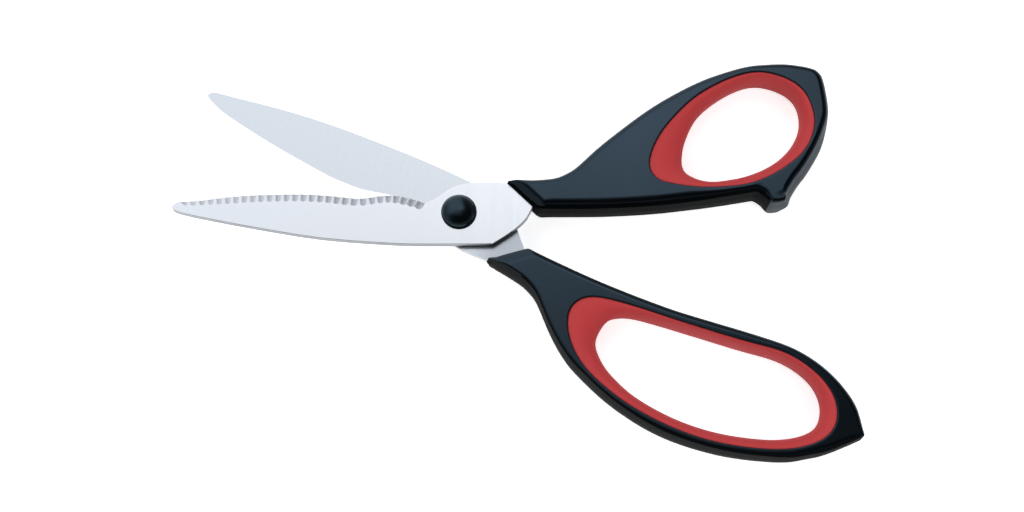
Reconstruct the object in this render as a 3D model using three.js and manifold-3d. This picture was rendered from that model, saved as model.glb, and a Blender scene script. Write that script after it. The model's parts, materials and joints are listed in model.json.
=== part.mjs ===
// Herb scissors: two blades on one pivot, each moulded into a loop handle with a soft grip.
// Millimetres, +Z up. The origin is on the pivot axis, in the plane that the scissors lie on.
// The blades point along -X and the handles along +X. One half carries the serrated blade and the
// thumb handle, the other the plain blade and the finger handle. The plain half is drawn in the
// closed position and turned open about the pivot.

import * as THREE from 'three';
import { mergeVertices } from 'three/addons/utils/BufferGeometryUtils.js';
import Module from 'manifold-3d';

const wasm = await Module();
wasm.setup();

// How far the scissors lie open, degrees from closed
const restOpening = 24.3;

// Blades
const bladeLength = 80.6; // pivot axis to tip
const spineOffset = 9.4; // pivot axis to spine
const bladeThickness = 2.2;
const bladeGap = 0.3; // between the two inner faces
const bevelWidth = 1.9; // ground bevel, seen square to the blade
const edgeLand = 0.5; // steel left at the cutting edge
const bevelFade = 0.06; // share of the edge over which the bevel runs out at each end

// Serration ground across the bevel
const flutePitch = 2.35;
const fluteRadius = 1.4;
const fluteDepth = 0.3;
const serrationMargin = 2.6; // plain edge left at each end

// Tangs inside the handles
const tangWidth = 4.6;
const tangRootDepth = 9.2; // from the nearest corner of the handle
const tangWall = 5.5; // plastic left between a tang's tip and the grip
const tangClearance = 0.25;
const keyHoleDiameter = 2.6;
const keySpacing = 6.2;

// Handles
const handleThickness = 12;
const handleEdgeRadius = 1.2;
const handleDraft = 0.3; // walls lean in by this much from the middle to the edge rounding
const endLean = 0.9; // the same for the end that the blade comes out of
const handleStart = 12.4; // pivot axis to the nearest corner of a handle
const thumbLength = 92.5;
const thumbRise = 43.6;
const fingerLength = 114;
const fingerDrop = 34.2;
const stopClearance = 0.3; // nub to finger handle when closed

// Soft grips
const thumbGripWidth = 9.8; // at its widest, from the handle to the eye
const fingerGripWidth = 9.3;
const gripClearance = 0.2;
const gripRecess = 0.9; // below the faces of the handle
const gripLip = 0.3; // flat lip along the handle

// Pivot
const boltDiameter = 5;
const boltClearance = 0.15; // on the radius
const threadDiameter = 4;
const headDiameter = 7.4;
const headHeight = 1;
const slotWidth = 1;
const slotDepth = 0.5;
const washerDiameter = 8.2;
const headWasherThickness = 0.4;
const springWasherThickness = 0.3;
const springWasherCone = 0.3; // rise from rim to bore
const nutAcrossFlats = 7;
const nutHeight = 1.8;
const threadProjection = 0.4; // past the nut
const bladeWasherDiameter = 12;
const capDiameter = 10;
const capWall = 0.7;
const capRim = 0.9; // straight rim below the dome
const domeHeight = 2;
const capFloor = 0.7;
const seatGap = 0.05; // between faces that lie on each other

// Facets
const spanSteps = 3; // pieces to a span of a curved outline
const gripSteps = 4;
const edgeSteps = 2; // pieces to a rounded handle edge
const beadLevels = 8; // levels of a grip's rounded inside
const roundSegments = 32;
const fluteSegments = 20;
const domeSteps = 6;
const overcut = 1; // how far a cut runs past a face

// Heights that follow
const middle = handleThickness / 2;
const serratedInner = middle + bladeGap / 2;
const serratedOuter = serratedInner + bladeThickness;
const plainInner = middle - bladeGap / 2;
const plainOuter = plainInner - bladeThickness;
const boreRadius = boltDiameter / 2 + boltClearance;
const threadBoreRadius = threadDiameter / 2 + boltClearance;
const capRadius = capDiameter / 2;

// Finishes
const finish = (color, roughness, metalness) => (
  new THREE.MeshStandardMaterial({ color, roughness, metalness })
);
const blackPlastic = () => finish(0x1b2128, 0.42, 0);
const redRubber = () => finish(0xa83a3c, 0.62, 0);
const groundSteel = () => finish(0xd8dce2, 0.3, 1);
const turnedSteel = () => finish(0xb9bcc0, 0.35, 1);
const nylon = () => finish(0xe6e3da, 0.5, 0);

// Outlines. Points are percent of a length along X and of a height along Y, counter-clockwise.
const percent = (startX, length, height) => ([along, up]) => (
  new THREE.Vector2(startX + along * length / 100, up * height / 100)
);

// A closed outline of stretches. Each runs smoothly through its points and on to the next one's first.
function traceOutline(stretches, steps = spanSteps) {
  const points = [];
  const edges = [];
  stretches.forEach(({ kind, through }, i) => {
    const next = stretches[(i + 1) % stretches.length].through[0];
    const curve = new THREE.SplineCurve([...through, next]);
    const count = through.length === 1 ? 1 : steps * through.length;
    for (let k = 0; k < count; k += 1) {
      points.push(curve.getPoint(k / count));
      edges.push({ kind, share: (k + 0.5) / count });
    }
  });
  return { points, edges };
}

// A closed smooth loop with no corners. Each point also has a width there, in percent of the widest.
function traceLoop(through, place, steps = gripSteps) {
  const knots = through.map(([along, up, width]) => {
    const { x, y } = place([along, up]);
    return new THREE.Vector3(x, y, width / 100);
  });
  const curve = new THREE.CatmullRomCurve3(knots, true, 'catmullrom');
  const stations = curve.getPoints(steps * through.length).slice(0, -1);
  return {
    points: stations.map(({ x, y }) => new THREE.Vector2(x, y)),
    edges: stations.map(() => ({ kind: 'loop' })),
    widths: stations.map(({ z }) => z),
  };
}

// Moves every edge of an outline inwards by its own distance. Neighbours meet where the lines cross.
function insetOutline({ points, edges }, distanceOf) {
  const count = points.length;
  const inward = points.map((point, i) => {
    const along = points[(i + 1) % count].clone().sub(point).normalize();
    return new THREE.Vector2(-along.y, along.x);
  });
  return points.map((point, i) => {
    const before = (i + count - 1) % count;
    const a = inward[before];
    const b = inward[i];
    const da = distanceOf(edges[before], a);
    const db = distanceOf(edges[i], b);
    const turn = a.x * b.y - a.y * b.x;
    const nearlyStraight = 0.5;
    if (Math.abs(turn) < nearlyStraight) {
      return a.clone().add(b).normalize().multiplyScalar((da + db) / 2).add(point);
    }
    const shift = new THREE.Vector2((da * b.y - db * a.y) / turn, (db * a.x - da * b.x) / turn);
    return shift.add(point);
  });
}

// A closed solid through stacked rings of equal point counts, given from the bottom up
function loft(rings) {
  const count = rings[0].points.length;
  const positions = rings.flatMap(({ z, points }) => points.flatMap(({ x, y }) => [x, y, z]));
  const index = [];
  for (let level = 0; level + 1 < rings.length; level += 1) {
    for (let i = 0; i < count; i += 1) {
      const a = level * count + i;
      const b = level * count + (i + 1) % count;
      index.push(a, b, b + count, a, b + count, a + count);
    }
  }
  const top = (rings.length - 1) * count;
  THREE.ShapeUtils.triangulateShape(rings[0].points, []).forEach(([a, b, c]) => index.push(a, c, b));
  THREE.ShapeUtils.triangulateShape(rings.at(-1).points, []).forEach(([a, b, c]) => {
    index.push(top + a, top + b, top + c);
  });
  const geometry = new THREE.BufferGeometry();
  geometry.setAttribute('position', new THREE.Float32BufferAttribute(positions, 3));
  geometry.setIndex(index);
  return geometry;
}

const slab = (points, low, high) => loft([{ z: low, points }, { z: high, points }]);

// An upright round bar between two heights
function bar(radius, low, high, x = 0, y = 0, segments = roundSegments) {
  const geometry = new THREE.CylinderGeometry(radius, radius, high - low, segments);
  return geometry.rotateX(Math.PI / 2).translate(x, y, (low + high) / 2);
}

// A turned piece from a closed profile of radius and height, about the pivot axis
function turned(profile) {
  const points = profile.map(([radius, height]) => new THREE.Vector2(radius, height));
  points.push(points[0].clone());
  return new THREE.LatheGeometry(points, roundSegments).rotateX(Math.PI / 2);
}

// Joining and cutting
function solid(geometry) {
  const bare = geometry.clone();
  bare.deleteAttribute('normal');
  bare.deleteAttribute('uv');
  const merged = mergeVertices(bare);
  return new wasm.Manifold(new wasm.Mesh({
    numProp: 3,
    vertProperties: new Float32Array(merged.attributes.position.array),
    triVerts: new Uint32Array(merged.index.array),
  }));
}

const cut = (body, tools) => tools.reduce((left, tool) => left.subtract(solid(tool)), body);
const join = (body, additions) => additions.reduce((sum, addition) => sum.add(solid(addition)), body);

function geometryOf(body) {
  const { vertProperties, triVerts } = body.getMesh();
  const geometry = new THREE.BufferGeometry();
  geometry.setAttribute('position', new THREE.Float32BufferAttribute(vertProperties, 3));
  geometry.setIndex(Array.from(triVerts));
  return geometry;
}

function piece(name, body, material) {
  const geometry = body.isBufferGeometry ? body : geometryOf(body);
  geometry.computeVertexNormals();
  const mesh = new THREE.Mesh(geometry, material);
  mesh.name = name;
  return mesh;
}

// The handles' own frames, and the pockets in them that hold the grips
const onThumb = percent(handleStart, thumbLength, thumbRise);
const onFinger = percent(handleStart, fingerLength, fingerDrop);

const thumbPocket = traceLoop([
  [44.4, 31, 100], [46.6, 20.4, 90], [52.7, 16.3, 55], [62.3, 14.4, 27], [74.5, 17, 33],
  [84.3, 26.4, 32], [91.9, 40.4, 37], [95.1, 58.5, 34], [93.2, 76.8, 23], [88, 87.6, 13],
  [79.5, 93.1, 12], [70.9, 89.7, 20], [60.8, 78.7, 33], [53.4, 64.9, 49], [47.3, 48.2, 76],
], onThumb);

const fingerPocket = traceLoop([
  [24.2, -42.4, 100], [26.3, -58.5, 80], [30.8, -73.1, 64], [37.1, -83.3, 46], [46.1, -90.9, 37],
  [56.7, -93.6, 33], [67.3, -90.6, 33], [77.8, -81.3, 34], [86.1, -68.4, 34], [91.2, -52, 37],
  [92.2, -35.1, 39], [89.4, -18.1, 30], [83.5, -6.4, 16], [75.1, -1.5, 13], [64.6, -6.1, 11],
  [50.6, -11.7, 11], [37.4, -16.1, 23], [29.1, -21.1, 65], [25.3, -29.2, 95],
], onFinger);

// Middle lines of the eyes
const lineBetween = (a, b) => (
  new THREE.Line3(new THREE.Vector3(a.x, a.y, 0), new THREE.Vector3(b.x, b.y, 0))
);
const thumbEyeLine = lineBetween(onThumb([66, 44]), onThumb([78, 60]));
const fingerEyeLine = lineBetween(onFinger([44, -48]), onFinger([80, -38]));

// Tang: a strip from the neck into the handle, with holes that the plastic keys into. Its root and
// tip heights are percent, as the handle's outline is.
function tangStrip(pocket, place, rootUp, tipUp) {
  const pocketStart = Math.min(...pocket.points.map(({ x }) => x));
  const root = new THREE.Vector2(handleStart + tangRootDepth, place([0, rootUp]).y);
  const tip = new THREE.Vector2(pocketStart - tangWall, place([0, tipUp]).y);
  const along = tip.clone().sub(root).normalize();
  const across = new THREE.Vector2(-along.y, along.x).multiplyScalar(tangWidth / 2);
  const lastHole = tip.clone().addScaledVector(along, -keySpacing / 2);
  return {
    lowerRoot: root.clone().sub(across),
    lowerTip: tip.clone().sub(across),
    upperTip: tip.clone().add(across),
    upperRoot: root.clone().add(across),
    holes: [lastHole, lastHole.clone().addScaledVector(along, -keySpacing)],
  };
}

const serratedTang = tangStrip(thumbPocket, onThumb, 11.5, 18);
const plainTang = tangStrip(fingerPocket, onFinger, -18.5, -27);

// Blade outlines. The neck's points are percent of the distance to the handles.
const onBlade = percent(0, bladeLength, spineOffset);
const onNeck = percent(0, handleStart, spineOffset);

const serratedOutline = traceOutline([
  { kind: 'spine', through: [
    ...[[-99.7, 9], [-97.5, -0.5], [-90.1, -16], [-70.1, -49.5], [-47.6, -81], [-25.3, -96.5]].map(onBlade),
    onNeck([-80, -100]),
  ] },
  { kind: 'neck', through: [[77, -99], [105, -75], [131, -49.5], [152, -21.5]].map(onNeck) },
  { kind: 'tang', through: [onNeck([164, 8])] },
  { kind: 'tang', through: [serratedTang.lowerRoot] },
  { kind: 'tang', through: [serratedTang.lowerTip] },
  { kind: 'tang', through: [serratedTang.upperTip] },
  { kind: 'tang', through: [serratedTang.upperRoot] },
  { kind: 'neck', through: [onNeck([130, 86.5])] },
  { kind: 'shoulder', through: [[6, 86.5], [-10, 81], [-27.5, 69], [-54, 42.5]].map(onNeck) },
  { kind: 'edge', through: [
    onNeck([-75, 30.5]),
    ...[[-16.7, 45], [-22.8, 55.8], [-28, 54], [-35.4, 46.5], [-45.3, 55.2], [-56.5, 60.3], [-73.4, 56.8],
      [-87.3, 47.1], [-95.5, 41.5]].map(onBlade),
  ] },
  { kind: 'tip', through: [[-97.8, 39.2], [-99.5, 31], [-100, 21]].map(onBlade) },
]);

const plainOutline = traceOutline([
  { kind: 'tip', through: [[-99.8, 31], [-100, 23], [-99, 14.5]].map(onBlade) },
  { kind: 'edge', through: [
    [-97.5, 9.5], [-87.6, -9.2], [-77.2, -23.7], [-67.1, -35], [-57.2, -43.5], [-47.3, -51],
    [-41.1, -50.5], [-35, -47], [-29.4, -36.7], [-23.8, -25.5], [-17, -19],
  ].map(onBlade) },
  { kind: 'shoulder', through: [[-75, -24], [-54, -38.5], [-27.5, -66], [-10, -81]].map(onNeck) },
  { kind: 'neck', through: [onNeck([8, -89.5])] },
  { kind: 'tang', through: [onNeck([110, -94])] },
  { kind: 'tang', through: [plainTang.lowerRoot] },
  { kind: 'tang', through: [plainTang.lowerTip] },
  { kind: 'tang', through: [plainTang.upperTip] },
  { kind: 'tang', through: [plainTang.upperRoot] },
  { kind: 'neck', through: [[165, -13], [152.5, 3.7], [134, 30], [105, 68]].map(onNeck) },
  { kind: 'spine', through: [
    ...[[71, 104], [-20, 106.5]].map(onNeck),
    ...[[-15.7, 109.5], [-34.3, 106.5], [-52.7, 99], [-70.8, 84], [-88.5, 60], [-95.9, 49.5],
      [-98.8, 43.5]].map(onBlade),
  ] },
]);

// The bevel narrows to nothing at both ends of the edge
const bevelAt = ({ kind, share }) => (
  kind === 'edge' ? bevelWidth * Math.min(1, share / bevelFade, (1 - share) / bevelFade) : 0
);

// Serration: half-round flutes square to the edge, cut along the slope of the bevel
function fluteCutters() {
  const path = new THREE.CurvePath();
  const edgePoints = serratedOutline.points.filter((_, i) => serratedOutline.edges[i].kind === 'edge');
  for (let i = 0; i + 1 < edgePoints.length; i += 1) {
    path.add(new THREE.LineCurve(edgePoints[i], edgePoints[i + 1]));
  }
  const run = path.getLength() - 2 * serrationMargin;
  const count = Math.floor(run / flutePitch) + 1;
  const slope = Math.atan2(bladeThickness - edgeLand, bevelWidth);
  const reach = 4 * bevelWidth; // past both sides of the bevel
  const lift = fluteRadius - fluteDepth;
  return Array.from({ length: count }, (_, n) => {
    const at = (serrationMargin + n * flutePitch) / path.getLength();
    const point = path.getPointAt(at);
    const along = path.getTangentAt(at);
    const cutter = new THREE.CylinderGeometry(fluteRadius, fluteRadius, reach, fluteSegments);
    cutter.rotateX(slope);
    cutter.translate(0, -lift * Math.sin(slope), lift * Math.cos(slope));
    cutter.rotateZ(Math.atan2(along.y, along.x));
    return cutter.translate(point.x, point.y, serratedInner + edgeLand);
  });
}

function makeSerratedBlade() {
  const { points } = serratedOutline;
  const ground = insetOutline(serratedOutline, bevelAt);
  const blank = loft([
    { z: serratedInner, points },
    { z: serratedInner + edgeLand, points },
    { z: serratedOuter, points: ground },
  ]);
  const keyHoles = serratedTang.holes.map(({ x, y }) => (
    bar(keyHoleDiameter / 2, serratedInner - overcut, serratedOuter + overcut, x, y, fluteSegments)
  ));
  const bore = bar(boreRadius, serratedInner - overcut, serratedOuter + overcut);
  const body = cut(solid(blank), [bore, ...keyHoles, ...fluteCutters()]);
  return piece('serrated_blade', body, groundSteel());
}

function makePlainBlade() {
  const { points } = plainOutline;
  const ground = insetOutline(plainOutline, bevelAt);
  const blank = loft([
    { z: plainOuter, points: ground },
    { z: plainInner - edgeLand, points },
    { z: plainInner, points },
  ]);
  const keyHoles = plainTang.holes.map(({ x, y }) => (
    bar(keyHoleDiameter / 2, plainOuter - overcut, plainInner + overcut, x, y, fluteSegments)
  ));
  const bore = bar(boreRadius, plainOuter - overcut, plainInner + overcut);
  return piece('plain_blade', cut(solid(blank), [bore, ...keyHoles]), groundSteel());
}

// Handle outlines at mid thickness
const fingerOutline = traceOutline([
  { kind: 'end', through: [onFinger([7.8, -5.6])] },
  { kind: 'side', through: [
    [0, -27.2], [4, -28.8], [9.5, -31.6], [12.4, -34.8], [15.3, -40.6], [20.3, -56.4], [23.6, -65.8],
    [26.8, -73.4], [31.3, -81.3], [42.4, -93.9], [55.9, -100], [70.7, -94.6], [84.2, -80.4],
    [90.3, -68.3], [94.2, -58.2],
  ].map(onFinger) },
  { kind: 'side', through: [
    [100, -37.7], [95.8, -18.6], [91.6, -8.2], [87, -0.9], [82.6, 3.5], [78.4, 5.6], [74.3, 5.8],
    [68.2, 4.1], [60.9, 1.2], [53.4, -2], [46, -4.7], [35.8, -6.6], [25.4, -7.3], [14.8, -6.6],
  ].map(onFinger) },
]);

// The nub stops the handles: its foot follows the finger handle below it
function footOver(share) {
  const { x } = onThumb([share, 0]);
  const crossings = fingerOutline.points.flatMap((a, i, all) => {
    const b = all[(i + 1) % all.length];
    return (a.x - x) * (b.x - x) > 0 ? [] : [a.y + (b.y - a.y) * (x - a.x) / (b.x - a.x)];
  });
  return new THREE.Vector2(x, Math.max(...crossings) + stopClearance);
}

const thumbOutline = traceOutline([
  { kind: 'end', through: [onThumb([0, 20.4])] },
  { kind: 'side', through: [
    [9.8, 0.2], [24.4, 0.2], [34.4, 0.7], [46.8, 2.4], [59.2, 5.5], [68.5, 8.5],
  ].map(onThumb) },
  { kind: 'side', through: [[76.7, 11.5], [78.9, 8.2]].map(onThumb) },
  { kind: 'side', through: [footOver(80.7)] },
  { kind: 'side', through: [footOver(86.5)] },
  { kind: 'side', through: [
    [87.2, 11], [89.7, 19.3], [92.6, 27.3], [97.2, 43.8], [99.7, 60], [100, 70], [99.2, 85.3],
  ].map(onThumb) },
  { kind: 'side', through: [[98.4, 92], [96.6, 95.9]].map(onThumb) },
  { kind: 'side', through: [
    [93.2, 98.2], [86.5, 100], [77.5, 98.9], [71.1, 95.9], [61.7, 89], [52.2, 78.7], [42.7, 65.8],
    [30.3, 45], [24.2, 33], [21.3, 27.5], [18.4, 23.9], [15.5, 21.6], [9.6, 20.4],
  ].map(onThumb) },
]);

// A handle: rounded along its edges, leaning in a little from mid thickness, open at its pocket,
// hollow for the tang and keyed through the tang's holes
function makeHandle(name, outline, pocket, blade) {
  const leanOf = (kind) => (kind === 'end' ? endLean : handleDraft);
  const lower = Array.from({ length: edgeSteps + 1 }, (_, k) => {
    const angle = (k / edgeSteps) * Math.PI / 2;
    const round = handleEdgeRadius * (1 - Math.sin(angle));
    return {
      z: handleEdgeRadius * (1 - Math.cos(angle)),
      points: insetOutline(outline, ({ kind }) => leanOf(kind) + round),
    };
  });
  const rings = [
    ...lower,
    { z: middle, points: outline.points },
    ...lower.map(({ z, points }) => ({ z: handleThickness - z, points })).reverse(),
  ];
  const roomPoints = insetOutline(blade.outline, () => -tangClearance);
  const room = slab(roomPoints, blade.low - tangClearance, blade.high + tangClearance);
  const keys = blade.holes.map(({ x, y }) => (
    bar(keyHoleDiameter / 2 - tangClearance, blade.low - overcut, blade.high + overcut, x, y, fluteSegments)
  ));
  const opening = slab(pocket.points, -overcut, handleThickness + overcut);
  const body = cut(solid(loft(rings)), [opening, room]);
  return piece(name, join(body, keys), blackPlastic());
}

// A grip: a ring that fills the pocket, with a rounded inside that is narrowest at mid thickness.
// Each point of the pocket moves in towards the eye's middle line by the width of the grip there.
function makeGrip(name, pocket, middleLine, widest) {
  const outer = insetOutline(pocket, () => gripClearance);
  const inward = outer.map((point) => {
    const from = new THREE.Vector3(point.x, point.y, 0);
    const nearest = middleLine.closestPointToPoint(from, true, new THREE.Vector3());
    return new THREE.Vector2(nearest.x, nearest.y).sub(point).normalize();
  });
  const half = middle - gripRecess;
  const rings = Array.from({ length: beadLevels + 1 }, (_, level) => {
    const angle = (level / beadLevels - 0.5) * Math.PI;
    const reach = pocket.widths.map((share) => gripLip + (widest * share - gripLip) * Math.cos(angle));
    return {
      z: middle + half * Math.sin(angle),
      points: outer.map((point, i) => point.clone().addScaledVector(inward[i], reach[i])),
    };
  });
  rings.unshift({ z: gripRecess - overcut, points: rings[0].points });
  rings.push({ z: handleThickness - gripRecess + overcut, points: rings.at(-1).points });
  const block = slab(outer, gripRecess, handleThickness - gripRecess);
  return piece(name, cut(solid(block), [loft(rings)]), redRubber());
}

// Pivot pieces, from the front cap down
const headWasherLow = serratedOuter + seatGap;
const headWasherHigh = headWasherLow + headWasherThickness;
const headLow = headWasherHigh + seatGap;
const headHigh = headLow + headHeight;
const springHigh = plainOuter - seatGap;
const springLow = springHigh - springWasherThickness - springWasherCone;
const nutHigh = springLow - seatGap;
const nutLow = nutHigh - nutHeight;
const threadEnd = nutLow - threadProjection;

function makeFrontCap() {
  const low = serratedOuter + seatGap;
  const shoulder = low + capRim;
  const inside = capRadius - capWall;
  const ceiling = headHigh + seatGap;
  const dome = Array.from({ length: domeSteps }, (_, n) => {
    const angle = (n / domeSteps) * Math.PI / 2;
    return [capRadius * Math.cos(angle), shoulder + domeHeight * Math.sin(angle)];
  });
  const cup = turned([
    [0, ceiling], [inside, ceiling], [inside, low], [capRadius, low], ...dome, [0, shoulder + domeHeight],
  ]);
  return piece('front_cap', cup, blackPlastic());
}

function makeBackCap() {
  const high = plainOuter - seatGap;
  const inside = capRadius - capWall;
  const chamfer = capWall / 2;
  const cup = turned([
    [0, 0], [capRadius - chamfer, 0], [capRadius, chamfer], [capRadius, high],
    [inside, high], [inside, capFloor], [0, capFloor],
  ]);
  return piece('back_cap', cup, blackPlastic());
}

function makeBolt() {
  const shaft = boltDiameter / 2;
  const head = headDiameter / 2;
  const thread = threadDiameter / 2;
  const shaftLow = springHigh + seatGap;
  const blank = turned([
    [0, threadEnd], [thread, threadEnd], [thread, shaftLow], [shaft, shaftLow],
    [shaft, headLow], [head, headLow], [head, headHigh], [0, headHigh],
  ]);
  const slot = new THREE.BoxGeometry(headDiameter * 2, slotWidth, slotDepth * 2).translate(0, 0, headHigh);
  return piece('pivot_bolt', cut(solid(blank), [slot]), turnedSteel());
}

function makeNut() {
  const sides = 6;
  const corner = nutAcrossFlats / 2 / Math.cos(Math.PI / sides);
  const bore = bar(threadBoreRadius, nutLow - overcut, nutHigh + overcut);
  return piece('pivot_nut', cut(solid(bar(corner, nutLow, nutHigh, 0, 0, sides)), [bore]), turnedSteel());
}

// A flat washer about the pivot axis, or a dished one when its rim sits lower than its bore
function makeWasher(name, material, { bore, diameter, low, high, cone = 0 }) {
  const rim = diameter / 2;
  return piece(name, turned([[bore, low + cone], [rim, low], [rim, high - cone], [bore, high]]), material);
}

// Assembly
const serratedHalf = new THREE.Group();
serratedHalf.add(
  makeSerratedBlade(),
  makeHandle('thumb_handle', thumbOutline, thumbPocket, {
    outline: serratedOutline, low: serratedInner, high: serratedOuter, holes: serratedTang.holes,
  }),
  makeGrip('thumb_grip', thumbPocket, thumbEyeLine, thumbGripWidth),
);

const plainHalf = new THREE.Group();
plainHalf.add(
  makePlainBlade(),
  makeHandle('finger_handle', fingerOutline, fingerPocket, {
    outline: plainOutline, low: plainOuter, high: plainInner, holes: plainTang.holes,
  }),
  makeGrip('finger_grip', fingerPocket, fingerEyeLine, fingerGripWidth),
);
plainHalf.rotation.z = THREE.MathUtils.degToRad(-restOpening);

const pivot = new THREE.Group();
pivot.add(
  makeFrontCap(),
  makeBolt(),
  makeWasher('head_washer', nylon(), {
    bore: boreRadius, diameter: washerDiameter, low: headWasherLow, high: headWasherHigh,
  }),
  makeWasher('blade_washer', nylon(), {
    bore: boreRadius, diameter: bladeWasherDiameter, low: plainInner + seatGap, high: serratedInner - seatGap,
  }),
  makeWasher('spring_washer', turnedSteel(), {
    bore: threadBoreRadius,
    diameter: washerDiameter,
    low: springLow,
    high: springHigh,
    cone: springWasherCone,
  }),
  makeNut(),
  makeBackCap(),
);

const herbScissors = new THREE.Group();
herbScissors.add(serratedHalf, plainHalf, pivot);

export default herbScissors;
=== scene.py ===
import bmesh
import bpy
import json
import math
import numpy as np
from mathutils import Matrix, Vector, geometry


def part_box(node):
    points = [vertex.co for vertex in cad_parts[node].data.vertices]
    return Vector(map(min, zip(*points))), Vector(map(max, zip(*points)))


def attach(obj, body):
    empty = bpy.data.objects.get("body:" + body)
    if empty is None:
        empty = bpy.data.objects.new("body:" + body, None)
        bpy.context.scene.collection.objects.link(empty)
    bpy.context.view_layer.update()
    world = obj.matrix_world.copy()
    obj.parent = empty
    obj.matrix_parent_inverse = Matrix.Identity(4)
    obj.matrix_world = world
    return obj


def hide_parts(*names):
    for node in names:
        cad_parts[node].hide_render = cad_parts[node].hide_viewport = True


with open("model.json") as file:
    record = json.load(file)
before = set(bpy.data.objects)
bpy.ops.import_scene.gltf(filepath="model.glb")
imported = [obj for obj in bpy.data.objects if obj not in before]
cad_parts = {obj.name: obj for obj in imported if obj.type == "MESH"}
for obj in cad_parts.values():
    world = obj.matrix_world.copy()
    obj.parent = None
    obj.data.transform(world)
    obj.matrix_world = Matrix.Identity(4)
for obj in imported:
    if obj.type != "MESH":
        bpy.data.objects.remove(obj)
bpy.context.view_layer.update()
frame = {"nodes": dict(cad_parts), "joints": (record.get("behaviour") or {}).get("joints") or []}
mm = 0.001
quarterTurn = math.pi / 2
print("frame loaded:", len(frame["nodes"]), "nodes")

# what the pieces share, read from the frame, in mm and degrees
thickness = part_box("thumb_handle")[1].z / mm
middle = thickness / 2
restOpening = -frame["joints"][0]["range_deg"][0]  # how far the scissors lie open


def srgb(red, green, blue):  # 8-bit screen colour to linear
    parts = [value / 255 for value in (red, green, blue)]
    return [p / 12.92 if p < 0.04045 else ((p + 0.055) / 1.055) ** 2.4 for p in parts] + [1]


def blendStep(low, high, value):  # smooth 0 to 1
    t = np.clip((np.asarray(value, float) - low) / (high - low), 0, 1)
    return t * t * (3 - 2 * t)


def turned(points, degrees):  # turned about the pivot axis
    c, s = math.cos(math.radians(degrees)), math.sin(math.radians(degrees))
    return np.asarray(points, float) @ np.array([[c, s], [-s, c]])


# outlines, in mm

outlineMake = {
    "weld": 1e-7,  # metres, joins the loose triangles of a CAD node
    "straight": (0.05, 0.25),  # points that turn less, in degrees, are dropped in two rounds
    "corner": 38,  # a point that turns more stays a corner
    "curveSteps": 12,  # short lines for each span of a curve
    "ringSteps": 6,  # finer while a ring without corners is closed
}


def signedArea(loop):
    after = np.roll(loop, -1, 0)
    return (loop[:, 0] * after[:, 1] - after[:, 0] * loop[:, 1]).sum() / 2


def sectionLoops(node, height):  # closed outlines of a CAD node at one height, largest first
    bm = bmesh.new()
    bm.from_mesh(frame["nodes"][node].data)
    bmesh.ops.remove_doubles(bm, verts=bm.verts, dist=outlineMake["weld"])
    everything = bm.verts[:] + bm.edges[:] + bm.faces[:]
    cut = bmesh.ops.bisect_plane(bm, geom=everything, plane_co=(0, 0, height * mm), plane_no=(0, 0, 1))
    edges = [e for e in cut["geom_cut"] if isinstance(e, bmesh.types.BMEdge)]
    edges = dict.fromkeys(edges)  # keeps their order, so that each run starts at the same point
    loops = []
    while edges:
        edge, _ = edges.popitem()
        first, here = edge.verts
        chain = [first]
        while here is not first:
            chain.append(here)
            edge = next(e for e in here.link_edges if e in edges)
            del edges[edge]
            here = edge.other_vert(here)
        loops.append(np.array([v.co.xy for v in chain]) / mm)
    bm.free()
    loops.sort(key=lambda loop: -abs(signedArea(loop)))
    return [loop if signedArea(loop) > 0 else loop[::-1] for loop in loops]


def turnAngles(loop):  # how far the outline turns at each point, degrees
    before, after = loop - np.roll(loop, 1, 0), np.roll(loop, -1, 0) - loop
    cross = before[:, 0] * after[:, 1] - before[:, 1] * after[:, 0]
    return np.degrees(np.arctan2(cross, (before * after).sum(1)))


def evenSteps(line, spacing, least=1):  # an open line in even steps, last point left out
    along = np.concatenate([[0], np.cumsum(np.hypot(*np.diff(line, axis=0).T))])
    at = np.linspace(0, along[-1], max(least, round(along[-1] / spacing)), endpoint=False)
    return np.column_stack([np.interp(at, along, line[:, k]) for k in (0, 1)])


def curveThrough(points, spacing):  # smooth open curve through points, last point left out
    spans = np.hypot(*np.diff(points, axis=0).T)
    slopes = np.diff(points, axis=0) / spans[:, None]
    tangents = np.vstack([slopes[:1], slopes[-1:]])
    if len(points) > 2:
        before, after = spans[:-1, None], spans[1:, None]
        inner = (slopes[:-1] * after + slopes[1:] * before) / (before + after)
        tangents = np.vstack([slopes[:1], inner, slopes[-1:]])
    dense = []
    for p, q, m, n, h in zip(points, points[1:], tangents, tangents[1:], spans):
        for t in np.linspace(0, 1, outlineMake["curveSteps"], endpoint=False):
            dense.append((1 + 2 * t) * (1 - t) ** 2 * p + t * (1 - t) ** 2 * h * m
                         + t * t * (3 - 2 * t) * q - t * t * (1 - t) * h * n)
    return evenSteps(np.vstack([dense, points[-1]]), spacing, 2)


def evened(values, passes):  # each value drawn towards its neighbours round the outline
    for _ in range(passes):
        values = values / 2 + np.roll(values, 1, 0) / 4 + np.roll(values, -1, 0) / 4
    return values


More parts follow.
